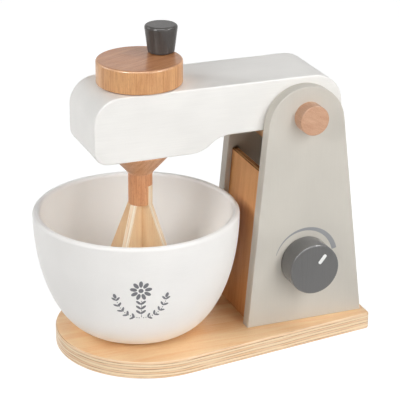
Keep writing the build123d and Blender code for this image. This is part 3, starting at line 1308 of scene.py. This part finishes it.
@dataclass
class Head(SubAssembly):
    """The painted head arm that tilts on the axle."""

    body: str = "head"
    half_width: float = 26.0
    nose_x: float = -36.3
    tail_x: float = 134.5
    top: float = 181.7
    nose_under: float = 137.9
    tail_under: float = 148.0
    nose_top_radius: float = 18.0
    nose_bottom_radius: float = 9.5
    tail_top_radius: float = 21.0
    tail_bottom_radius: float = 9.0
    step_x: float = 42.5
    step_angle: float = 40.0
    step_rounding: float = 0.98
    edge_radius: float = 1.2
    crank_hole: float = 8.07
    axle_hole: float = 5.07
    grain_x: float = 40.0

    def outline(self) -> list[Corner]:
        """Give the arm's corners in the XZ plane, with the S-shaped step in its underside.

        Returns:
            The corners in order.
        """
        rise = self.tail_under - self.nose_under
        slope = math.radians(self.step_angle)
        half_run = rise / 2 / math.tan(slope)
        radius = self.step_rounding * rise / 2 / math.sin(slope) / math.tan(slope / 2)
        return [
            Corner(self.nose_x, self.top, self.nose_top_radius),
            Corner(self.nose_x, self.nose_under, self.nose_bottom_radius),
            Corner(self.step_x - half_run, self.nose_under, radius),
            Corner(self.step_x + half_run, self.tail_under, radius),
            Corner(self.tail_x, self.tail_under, self.tail_bottom_radius),
            Corner(self.tail_x, self.top, self.tail_top_radius),
        ]

    def build(self) -> None:
        """Model the arm: outline, soft rims, and the holes of the crank and the axle."""
        half = self.half_width
        arm = slab("head_arm_painted", self.outline(), -half, half, self.edge_radius)
        height = self.top - self.nose_under
        bore(arm, (CRANK_X, 0, self.nose_under), self.crank_hole, height + OVERLAP)
        bore(arm, (AXLE_X, half, AXLE_Z), self.axle_hole, 2 * half + OVERLAP, Lie.FACING_FRONT)
        self.fit(arm, ARM_PAINT, Pattern((self.grain_x, 0, self.top)), "head_paint", "head_arm")


@dataclass
class Crank(SubAssembly):
    """The disc on the head and, on the same spindle, the collar and the two crossed blades."""

    body: str = "crank"
    disc_radius: float = 27.9
    disc_bottom: float = 182.05
    disc_thickness: float = 15.5
    top_edge: float = 1.6
    bottom_edge: float = 1.0
    screw_hole: float = 1.83
    screw_head: float = 3.58
    screw_head_depth: float = 1.6
    spindle_radius: float = 8.0
    spindle_bottom: float = 99.3
    socket_depth: float = 11.0
    collar_top: float = 137.55
    collar_height: float = 17.0
    collar_radius: float = 21.0
    collar_rim: float = 2.5
    collar_lip: float = 0.5
    collar_shoulder_edge: float = 0.25
    collar_top_edge: float = 0.3
    blade_bottom: float = 31.0
    slot_depth: float = 13.0
    half_width: float = 26.3
    widest_drop: float = 45.0
    foot_half_width: float = 17.0
    shoulder_radius: float = 14.0
    foot_radius: float = 12.0
    blade_edge: float = 0.3
    blade_angle: float = -53.0
    disc_axes: Sequence[Sequence[float]] = ((0, 0, 1), (0.55, 0.83, 0), (-0.83, 0.55, 0))
    spindle_pattern: Pattern = Pattern((8.0, 4.0, 120.0), Grain.UPRIGHT.value)
    collar_pattern: Pattern = Pattern((-5.0, 9.0, 130.0), ((0, 0, 1), (0.9, 0.4, 0), (-0.4, 0.9, 0)))
    blade_grain: Spot = (3.0, 0.0, 60.0)

    def build_disc(self) -> None:
        """Model the crank disc with its socket and the hole of the knob's screw."""
        top = self.disc_bottom + self.disc_thickness
        foot = (CRANK_X, 0, self.disc_bottom)
        disc = turned_bar("crank_disc_wood", foot, self.disc_radius, self.disc_thickness)
        round_rim(disc, ALONG_Z, top, self.top_edge, steps=6)
        round_rim(disc, ALONG_Z, self.disc_bottom, self.bottom_edge, steps=4)
        bore(disc, foot, self.spindle_radius, self.socket_depth)
        screw = (KNOB_X, KNOB_Y, self.disc_bottom)
        bore(disc, screw, self.screw_hole, self.disc_thickness + OVERLAP)
        bore(disc, screw, self.screw_head, self.screw_head_depth)
        self.fit(disc, DISC_BEECH, Pattern((CRANK_X, 0, top), self.disc_axes), "beech", "crank_disc")

    def build_spindle(self) -> None:
        """Model the spindle, slotted at its foot."""
        bottom = self.spindle_bottom
        length = self.disc_bottom + self.socket_depth - bottom
        spindle = turned_bar("spindle_wood", (CRANK_X, 0, bottom), self.spindle_radius, length)
        reach, half = self.spindle_radius + OVERLAP, BLADE_THICKNESS / 2
        slot_top = bottom + self.slot_depth
        outline = box_corners(CRANK_X - reach, bottom - OVERLAP, CRANK_X + reach, slot_top)
        slot = slab("tool_slot", outline, -half, half)
        turn_upright(slot, self.blade_angle, CRANK_X)
        cut(spindle, slot)
        self.fit(spindle, RED_BEECH, self.spindle_pattern, "beech", "beater_spindle")

    def build_collar(self) -> None:
        """Model the flared collar on the spindle: a lip, the flare and a rim."""
        bottom = self.collar_top - self.collar_height
        flare_bottom, flare_top = bottom + self.collar_lip, self.collar_top - self.collar_rim
        foot, lip_radius = (CRANK_X, 0, bottom), self.spindle_radius + self.collar_lip
        collar = turned_bar("collar_wood", foot, lip_radius, self.collar_lip)
        with editing(collar):
            pick(collar, "FACE", at_level(ALONG_Z, flare_bottom))
            rise, scale = flare_top - flare_bottom, self.collar_radius / lip_radius
            extrude(Vector((0, 0, rise)) * MM)
            centre = (CRANK_X * MM, 0, flare_top * MM)
            bpy.ops.transform.resize(value=(scale, scale, 1), center_override=centre)
            extrude(Vector((0, 0, self.collar_rim)) * MM)
        round_rim(collar, ALONG_Z, flare_top, self.collar_shoulder_edge, steps=2)
        round_rim(collar, ALONG_Z, self.collar_top, self.collar_top_edge, steps=2)
        bore(collar, foot, self.spindle_radius, self.collar_height + OVERLAP)
        self.fit(collar, COLLAR_BEECH, self.collar_pattern, "beech", "beater_collar")

    def blade_outline(self, long: bool) -> list[Corner]:
        """Give a blade's corners, drawn square to the view before it is turned.

        Args:
            long: Whether it is the blade that stands in the spindle's slot.

        Returns:
            The corners in order.
        """
        right = [
            Corner(self.foot_half_width, self.blade_bottom, self.foot_radius),
            Corner(self.half_width, self.spindle_bottom - self.widest_drop, self.shoulder_radius),
            Corner(self.spindle_radius, self.spindle_bottom),
        ]
        if long:
            right.append(Corner(self.spindle_radius, self.spindle_bottom + self.slot_depth))
        left = [Corner(-corner.u, corner.v, corner.radius) for corner in reversed(right)]
        return [Corner(corner.u + CRANK_X, corner.v, corner.radius) for corner in right + left]

    def build_blade(self, long: bool) -> None:
        """Model one blade with its halving slot and turn it into place.

        Args:
            long: Whether it is the blade that stands in the spindle's slot.
        """
        half, kind = BLADE_THICKNESS / 2, "long" if long else "short"
        outline = self.blade_outline(long)
        blade = slab(f"blade_{kind}_wood", outline, -half, half, self.blade_edge, rim_steps=2)
        middle = (self.spindle_bottom + self.blade_bottom) / 2
        end = self.blade_bottom - OVERLAP if long else self.spindle_bottom + OVERLAP
        outline = box_corners(CRANK_X - half, min(middle, end), CRANK_X + half, max(middle, end))
        cut(blade, slab("tool_halving", outline, -half - OVERLAP, half + OVERLAP))
        angle = self.blade_angle if long else self.blade_angle + 90
        turn_upright(blade, angle, CRANK_X)
        along = Vector((1, 0, 0)) @ Matrix.Rotation(-math.radians(angle), 3, "Z")
        pattern = Pattern(self.blade_grain, ((0, 0, 1), along, (-along.y, along.x, 0.0)))
        self.fit(blade, BLADE_PLY, pattern, "blade_plywood", f"beater_blade_{kind}")

    def build(self) -> None:
        """Model the disc, the spindle, the collar and the blades."""
        self.build_disc()
        self.build_spindle()
        self.build_collar()
        for long in (True, False):
            self.build_blade(long)


@dataclass
class Knob(SubAssembly):
    """The dark tapered knob on the disc."""

    body: str = "knob"
    bottom: float = 197.9
    height: float = 18.2
    bottom_radius: float = 8.7
    top_radius: float = 11.0
    top_edge: float = 2.2
    bottom_edge: float = 0.8
    grain_shift: float = 6.0

    def build(self) -> None:
        """Model the knob with its pilot hole and dress its screw."""
        foot = (KNOB_X, KNOB_Y, self.bottom)
        knob = turned_bar("knob_painted", foot, self.bottom_radius, self.height, far_radius=self.top_radius)
        round_rim(knob, ALONG_Z, self.bottom + self.height, self.top_edge, steps=8)
        round_rim(knob, ALONG_Z, self.bottom, self.bottom_edge, steps=4)
        bore(knob, foot, PILOT_RADIUS, PILOT_DEPTH)
        pattern = Pattern((KNOB_X + self.grain_shift, KNOB_Y, self.bottom), Grain.UPRIGHT.value)
        self.fit(knob, KNOB_PAINT, pattern, "dark_paint", "crank_knob")
        self.dress_node("crank_knob_screw", ZINC, Pattern(axes=Grain.UPRIGHT.value))


@dataclass
class Dial(SubAssembly):
    """The dial on the front panel, its pointer mark, and the crescent printed round it."""

    body: str = "dial"
    back_y: float = -35.65
    front_y: float = -51.95
    radius: float = 17.4
    front_edge: float = 1.0
    back_edge: float = 0.6
    mark_angle: float = 51.6
    mark_inner: float = 4.75
    mark_outer: float = 12.4
    mark_width: float = 2.45
    mark_rounding: float = 0.49
    mark_height: float = 0.12
    mark_sunk: float = 0.3
    panel_y: float = -35.3
    crescent_x: float = 105.8
    crescent_z: float = 56.4
    crescent_radius: float = 20.8
    crescent_start: float = 12.0
    crescent_end: float = 164.0
    crescent_thick: float = 3.5
    crescent_thin: float = 0.3
    crescent_lean: float = 5.0
    print_height: float = 0.08
    print_depth: float = 0.2

    @staticmethod
    def way(degrees: float) -> Vector:
        """Give the direction at an angle in the panel's plane."""
        return Vector((math.cos(math.radians(degrees)), math.sin(math.radians(degrees))))

    def build_dial(self) -> None:
        """Model the dial with its pilot hole and dress its screw and washer."""
        foot = (AXLE_X, self.back_y, DIAL_Z)
        dial = turned_bar("dial_painted", foot, self.radius, self.back_y - self.front_y, Lie.FACING_FRONT)
        round_rim(dial, ALONG_Y, self.front_y, self.front_edge, steps=6)
        round_rim(dial, ALONG_Y, self.back_y, self.back_edge, steps=3)
        bore(dial, foot, PILOT_RADIUS, PILOT_DEPTH, Lie.FACING_FRONT)
        pattern = Pattern((AXLE_X, 0, DIAL_Z), Grain.UPRIGHT.value)
        self.fit(dial, DIAL_PAINT, pattern, "dark_paint", "dial_knob")
        for node in ("dial_screw", "dial_washer"):
            self.dress_node(node, ZINC, Pattern(axes=Grain.ALONG_Y.value))

    def build_mark(self) -> None:
        """Model the pointer mark, a thin rounded bar on the dial's face."""
        along = self.way(self.mark_angle)
        across = Vector((-along.y, along.x)) * self.mark_width / 2
        middle = Vector((AXLE_X, DIAL_Z))
        near, far = middle + along * self.mark_inner, middle + along * self.mark_outer
        points = (near - across, far - across, far + across, near + across)
        corners = [Corner(*point, self.mark_rounding * self.mark_width) for point in points]
        low, high = self.front_y - self.mark_height, self.front_y + self.mark_sunk
        mark = slab("dial_mark", corners, low, high)
        self.fit(mark, MARK_PAINT, Pattern((AXLE_X, self.front_y, DIAL_Z)), "dark_paint")

    def build_crescent(self) -> None:
        """Model the crescent as a thin layer of print on the panel: two arcs of unlike centres."""
        axis = Vector((self.crescent_x, self.crescent_z))
        first_way, last_way = self.way(self.crescent_start), self.way(self.crescent_end)
        near = first_way * (self.crescent_radius + self.crescent_thick)
        far = last_way * (self.crescent_radius + self.crescent_thin)
        lean = self.way(self.crescent_lean)
        shift = lean * (near.length_squared - far.length_squared) / (2 * (near - far).dot(lean))
        first, last = near - shift, far - shift
        turn = math.atan2(first.x * last.y - first.y * last.x, first.dot(last)) % FULL_TURN
        start, level = axis + first_way * self.crescent_radius, self.panel_y - self.print_height
        pen = Pen("dial_crescent", start, level)
        pen.line_to(axis + near)
        pen.arc(axis + shift, turn)
        pen.line_to(axis + last_way * self.crescent_radius)
        pen.arc(axis, math.radians(self.crescent_start - self.crescent_end))
        crescent = pen.pull(self.print_depth)
        pattern = Pattern((AXLE_X, self.panel_y, DIAL_Z))
        self.fit(crescent, PRINT_GREY, pattern, "panel_paint", body="stand")

    def build(self) -> None:
        """Model the dial, its mark and the crescent."""
        self.build_dial()
        self.build_mark()
        self.build_crescent()


@dataclass
class Bowl(SubAssembly):
    """The painted bowl and the sprig printed on it."""

    body: str = "bowl"
    height: float = 83.5
    radius: float = 68.0
    foot_radius: float = 28.0
    wall: float = 5.0
    floor: float = 7.0
    curve_steps: int = 40
    grain_z: float = 50.0
    sharp_rim: float = 50.0
    print_turn: float = -17.0
    print_z: float = 59.5
    print_y: float = -75.0
    print_thickness: float = 0.2
    petals: int = 9
    petal_size: tuple[float, float] = (4.6, 2.5)
    leaf_size: tuple[float, float] = (4.6, 1.8)
    dot_size: tuple[float, float] = (1.0, 1.0)
    dot_sides: int = 12
    eye_height: float = 6.5
    eye_radius: float = 2.5
    eye_scale: float = 3.2
    stalk_foot: float = -14.0
    stalk_steps: int = 12
    stalk_step: float = 1.25
    bend_foot: float = -15.0
    bend_steps: int = 15
    bend_angle: float = 1.35
    bend_width: float = 16.0
    bend_height: float = 17.5
    leaf_every: int = 3
    leaf_spread: float = 48.0
    stalk_leaf_scale: float = 0.9
    bend_leaf_scale: float = 0.75
    stalk_dot_scale: float = 0.7
    tip_scale: float = 0.8
    tip_lean: float = 20.0
    sprig: list[Piece] = field(default_factory=list)

    @property
    def rim_z(self) -> float:
        """The height at which the wall ends and its half-round rim starts."""
        return BASE_TOP + self.height - self.wall / 2

    def curve(self, radius: float, bottom: float) -> list[Vector]:
        """Give the points of a quarter ellipse from the flat floor up to the upright rim.

        Args:
            radius: The radius at the rim.
            bottom: The height of the flat part.

        Returns:
            The points.
        """
        angles = [math.pi / 2 * step / self.curve_steps for step in range(self.curve_steps + 1)]
        out, up = radius - self.foot_radius, self.rim_z - bottom
        return [
            Vector((self.foot_radius + out * math.sin(angle), self.rim_z - up * math.cos(angle)))
            for angle in angles
        ]

    def build_bowl(self) -> Piece:
        """Model the bowl: half its section, with a half-round rim, spun all round.

        Returns:
            The bowl.
        """
        pen = Pen("bowl_painted", Vector((0, BASE_TOP)), 0.0)
        for point in self.curve(self.radius, BASE_TOP):
            pen.line_to(point)
        pen.arc(Vector((self.radius - self.wall / 2, self.rim_z)), math.pi)
        inside = BASE_TOP + self.floor
        for point in reversed(self.curve(self.radius - self.wall, inside)):
            pen.line_to(point)
        pen.line_to(Vector((0, inside)))
        bowl = pen.turn_round(self.radius)
        pattern = Pattern((0, 0, self.grain_z))
        self.fit(bowl, BOWL_PAINT, pattern, "bowl_paint", "mixing_bowl", sharp=self.sharp_rim)
        # The faces inside the bowl take the lighter white: painted light on the bowl's inside.
        bowl.data.materials.append(BOWL_INSIDE_PAINTED_LIGHT.make(pattern))
        for face in bowl.data.polygons:
            outward = face.normal.x * face.center.x + face.normal.y * face.center.y
            face.material_index = int(face.normal.z > 0 and outward < TOUCH * MM)
        return bowl

    def leaf(self, name: str, length: float, width: float, sides: int = 20) -> Piece:
        """Model a flat leaf or petal, its stalk end at the origin and its tip along +X.

        Args:
            name: The piece's name.
            length: Its length.
            width: Its width.
            sides: The number of its sides.

        Returns:
            The piece, in the upright plane in front of the bowl.
        """
        bpy.ops.mesh.primitive_circle_add(
            vertices=sides, radius=MM, fill_type="NGON", rotation=Lie.FACING_FRONT.value
        )
        leaf = keep(name)
        with editing(leaf):
            bpy.ops.transform.resize(value=(length / 2, 1, width / 2))
            bpy.ops.transform.translate(value=(length / 2 * MM, 0, 0))
            bpy.ops.mesh.poke()
        return leaf

    def stamp(self, shape: Piece, spot: Vector, degrees: float, scale: float = 1.0) -> None:
        """Put one more copy of a shape in the print.

        Args:
            shape: The shape.
            spot: How far right of the print's middle it is and how far above.
            degrees: The way it points.
            scale: Its size.
        """
        turn = Matrix.Rotation(-math.radians(degrees), 4, "Y")
        place = Matrix.Translation(Vector((spot.x, self.print_y, self.print_z + spot.y)) * MM)
        self.sprig.append(copied(shape, f"stamp_{len(self.sprig)}", place @ turn @ Matrix.Scale(scale, 4)))

    def draw_daisy(self, petal: Piece, dot: Piece) -> None:
        """Draw the daisy: petals round an eye.

        Args:
            petal: The petal.
            dot: The dot.
        """
        middle = Vector((0, self.eye_height))
        for index in range(self.petals):
            angle = 90 + 360 * index / self.petals
            self.stamp(petal, middle + self.eye_radius * Dial.way(angle), angle)
        self.stamp(dot, middle - Vector((self.eye_scale / 2, 0)), 0, self.eye_scale)

    def draw_stalk(self, points: Sequence[Vector], leaf: Piece, dot: Piece, size: float) -> None:
        """Draw a dotted stalk with pairs of leaves.

        Args:
            points: The stalk's points, from its foot to its tip.
            leaf: The leaf.
            dot: The dot.
            size: The leaves' size.
        """
        for index, (here, there) in enumerate(zip(points, points[1:])):
            self.stamp(dot, here, 0, self.stalk_dot_scale)
            way = math.degrees(math.atan2(there.y - here.y, there.x - here.x))
            for side in (-1, 1) if (index + 1) % self.leaf_every == 0 else ():
                self.stamp(leaf, here, way + side * self.leaf_spread, size)

    def draw_sprig(self) -> None:
        """Draw the flat print in front of the bowl: a daisy on a stalk between two bent stalks."""
        petal, leaf = self.leaf("petal", *self.petal_size), self.leaf("leaf", *self.leaf_size)
        dot = self.leaf("dot", *self.dot_size, self.dot_sides)
        self.draw_daisy(petal, dot)
        heights = [self.stalk_foot + self.stalk_step * step for step in range(self.stalk_steps)]
        self.draw_stalk([Vector((0, height)) for height in heights], leaf, dot, self.stalk_leaf_scale)
        for side in (-1, 1):
            angles = [step / self.bend_steps * self.bend_angle for step in range(1, self.bend_steps + 2)]
            bend = [
                Vector((
                    side * self.bend_width * math.sin(angle),
                    self.bend_foot + self.bend_height * (1 - math.cos(angle)),
                ))
                for angle in angles
            ]
            self.draw_stalk(bend, leaf, dot, self.bend_leaf_scale)
            self.stamp(petal, bend[-1], 90 - side * self.tip_lean, self.tip_scale)
        for shape in (petal, leaf, dot):
            put_away(shape)

    def build_print(self, bowl: Piece) -> None:
        """Lay the sprig on the bowl's curve and give it the thickness of a coat of paint.

        Args:
            bowl: The finished bowl.
        """
        self.draw_sprig()
        hold(self.sprig[0])
        for shape in self.sprig:
            shape.select_set(True)
        bpy.ops.object.join()
        sprig = bpy.context.object
        sprig.name = sprig.data.name = "bowl_sprig"
        modify(
            sprig, "SHRINKWRAP", target=bowl, wrap_method="PROJECT", use_project_y=True,
            use_negative_direction=False, use_positive_direction=True,
        )
        modify(sprig, "SOLIDIFY", thickness=self.print_thickness * MM, offset=0.0)
        turn_upright(sprig, self.print_turn)
        self.fit(sprig, PRINT_DARK, Pattern((0, 0, self.print_z)), "bowl_paint")

    def build(self) -> None:
        """Model the bowl and print it."""
        self.build_print(self.build_bowl())


# The studio


@dataclass(frozen=True)
class Softbox:
    """A square studio light."""

    name: str
    place: Spot
    size: float
    power: float
    aim: Spot = (0.03, 0.0, 0.10)
    gloss_only: bool = False

    def hang(self) -> None:
        """Hang the light and turn it to its aim."""
        bpy.ops.object.light_add(type="AREA", location=self.place)
        lamp = bpy.context.object
        lamp.name = self.name
        lamp.data.size = self.size
        lamp.data.energy = self.power
        lamp.visible_diffuse = not self.gloss_only
        way = Vector(self.aim) - Vector(self.place)
        lamp.rotation_euler = way.to_track_quat("-Z", "Y").to_euler()


@dataclass
class Studio:
    """The floor, the lights, the world and the camera."""

    yaw: float = -21.50
    pitch: float = 22.23
    roll: float = 0.31
    lens: float = 155.54
    distance: float = 1.150
    target: Spot = (0.04498, 0.0, 0.09438)
    sensor_width: float = 36.0
    nearest: float = 0.05
    farthest: float = 50.0
    floor_size: float = 12.0
    floor_tones: tuple[float, float] = (0.86, 0.90)
    floor_cloud_scale: float = 3.0
    floor_shade: float = 0.22
    floor_glow: float = 0.92
    softboxes: tuple[Softbox, ...] = (
        Softbox("key", (0.70, -1.22, 0.90), 0.8, 7.2),
        Softbox("low_front", (0.30, -1.50, 0.45), 0.8, 6.9),
        Softbox("left", (-1.15, -0.55, 0.80), 0.6, 7.3),
        Softbox("behind_left", (-1.00, 0.80, 0.90), 0.5, 6.5),
        Softbox("high_right", (0.95, -0.25, 1.30), 0.6, 6.7),
        Softbox("glint_right", (0.90, -0.97, 1.12), 0.4, 16.0, (0.02, 0, 0.2), gloss_only=True),
        Softbox("glint_left", (-1.08, -0.61, 1.18), 0.45, 22.0, (0.02, 0, 0.2), gloss_only=True),
        Softbox("glint_behind", (-1.08, 0.71, 1.12), 0.3, 8.0, (0.02, 0, 0.2), gloss_only=True),
        Softbox("glint_above", (-0.15, -0.60, 1.45), 0.9, 22.0, (0.02, 0, 0.1), gloss_only=True),
    )

    def set_camera(self) -> None:
        """Put the camera where the photograph was taken from."""
        yaw, pitch, roll = (math.radians(angle) for angle in (self.yaw, self.pitch, self.roll))
        back = Vector((math.sin(yaw) * math.cos(pitch), -math.cos(yaw) * math.cos(pitch), math.sin(pitch)))
        right = Vector((math.cos(yaw), math.sin(yaw), 0))
        up = back.cross(right)
        across = right * math.cos(roll) + up * math.sin(roll)
        rising = up * math.cos(roll) - right * math.sin(roll)
        bpy.ops.object.camera_add()
        camera = bpy.context.object
        camera.name = "photo_camera"
        camera.rotation_euler = Matrix((across, rising, back)).transposed().to_euler()
        camera.location = Vector(self.target) + back * self.distance
        camera.data.lens = self.lens
        camera.data.sensor_width = self.sensor_width
        camera.data.clip_start = self.nearest
        camera.data.clip_end = self.farthest
        bpy.context.scene.camera = camera

    @staticmethod
    def seen_directly(desk: NodeDesk) -> Socket:
        """Give 1 on rays from the camera and on mirrored and refracted ones.

        Args:
            desk: The desk of the tree.

        Returns:
            The mask.
        """
        ray = desk.add("LightPath").outputs
        either = desk.math("MAXIMUM", ray["Is Camera Ray"], ray["Is Glossy Ray"])
        return desk.math("MAXIMUM", either, ray["Is Transmission Ray"])

    def light_world(self) -> None:
        """Put white behind the object, which is seen and mirrored but gives no light."""
        world = bpy.context.scene.world or bpy.data.worlds.new("studio_world")
        bpy.context.scene.world = world
        world.use_nodes = True
        world.node_tree.nodes.clear()
        desk = NodeDesk(world.node_tree)
        glow = desk.add("Background", {"Color": grey(1), "Strength": self.seen_directly(desk)})
        desk.add("OutputWorld", {"Surface": glow.outputs[0]})

    def lay_floor(self) -> None:
        """Lay a wide pale floor that keeps the toy's shadow but shows white where it is lit."""
        bpy.ops.mesh.primitive_plane_add(size=self.floor_size, location=(0, 0, 0))
        floor = keep("studio_floor")
        material = bpy.data.materials.new("floor_white")
        material.use_nodes = True
        material.node_tree.nodes.clear()
        desk = NodeDesk(material.node_tree)
        place = desk.add("TexCoord").outputs["Object"]
        cloud = desk.add("TexNoise", {"Vector": place, "Scale": self.floor_cloud_scale}).outputs["Fac"]
        pale = desk.mix(cloud, *(grey(tone) for tone in self.floor_tones))
        plain = desk.add("BsdfDiffuse", {"Color": pale}).outputs[0]
        faint = desk.add("BsdfDiffuse", {"Color": grey(self.floor_shade)}).outputs[0]
        glow = desk.add("Emission", {"Color": grey(1), "Strength": self.floor_glow}).outputs[0]
        shown = desk.add("AddShader", {0: faint, 1: glow}).outputs[0]
        mixed = desk.add("MixShader", {0: self.seen_directly(desk), 1: plain, 2: shown}).outputs[0]
        desk.add("OutputMaterial", {"Surface": mixed})
        floor.data.materials.append(material)

    def build(self) -> None:
        """Set the whole studio up."""
        bpy.context.scene.view_settings.view_transform = "Standard"
        self.set_camera()
        self.light_world()
        self.lay_floor()
        for softbox in self.softboxes:
            softbox.hang()


def main() -> None:
    """Build the toy's sub-assemblies in order, then the studio."""
    logging.basicConfig(level=logging.INFO, format="%(name)s: %(message)s")
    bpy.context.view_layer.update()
    for part in (Base(), Column(), Head(), Crank(), Knob(), Dial(), Bowl(), Studio()):
        LOG.info("building %s", type(part).__name__)
        part.build()


if __name__ == "__main__":
    main()
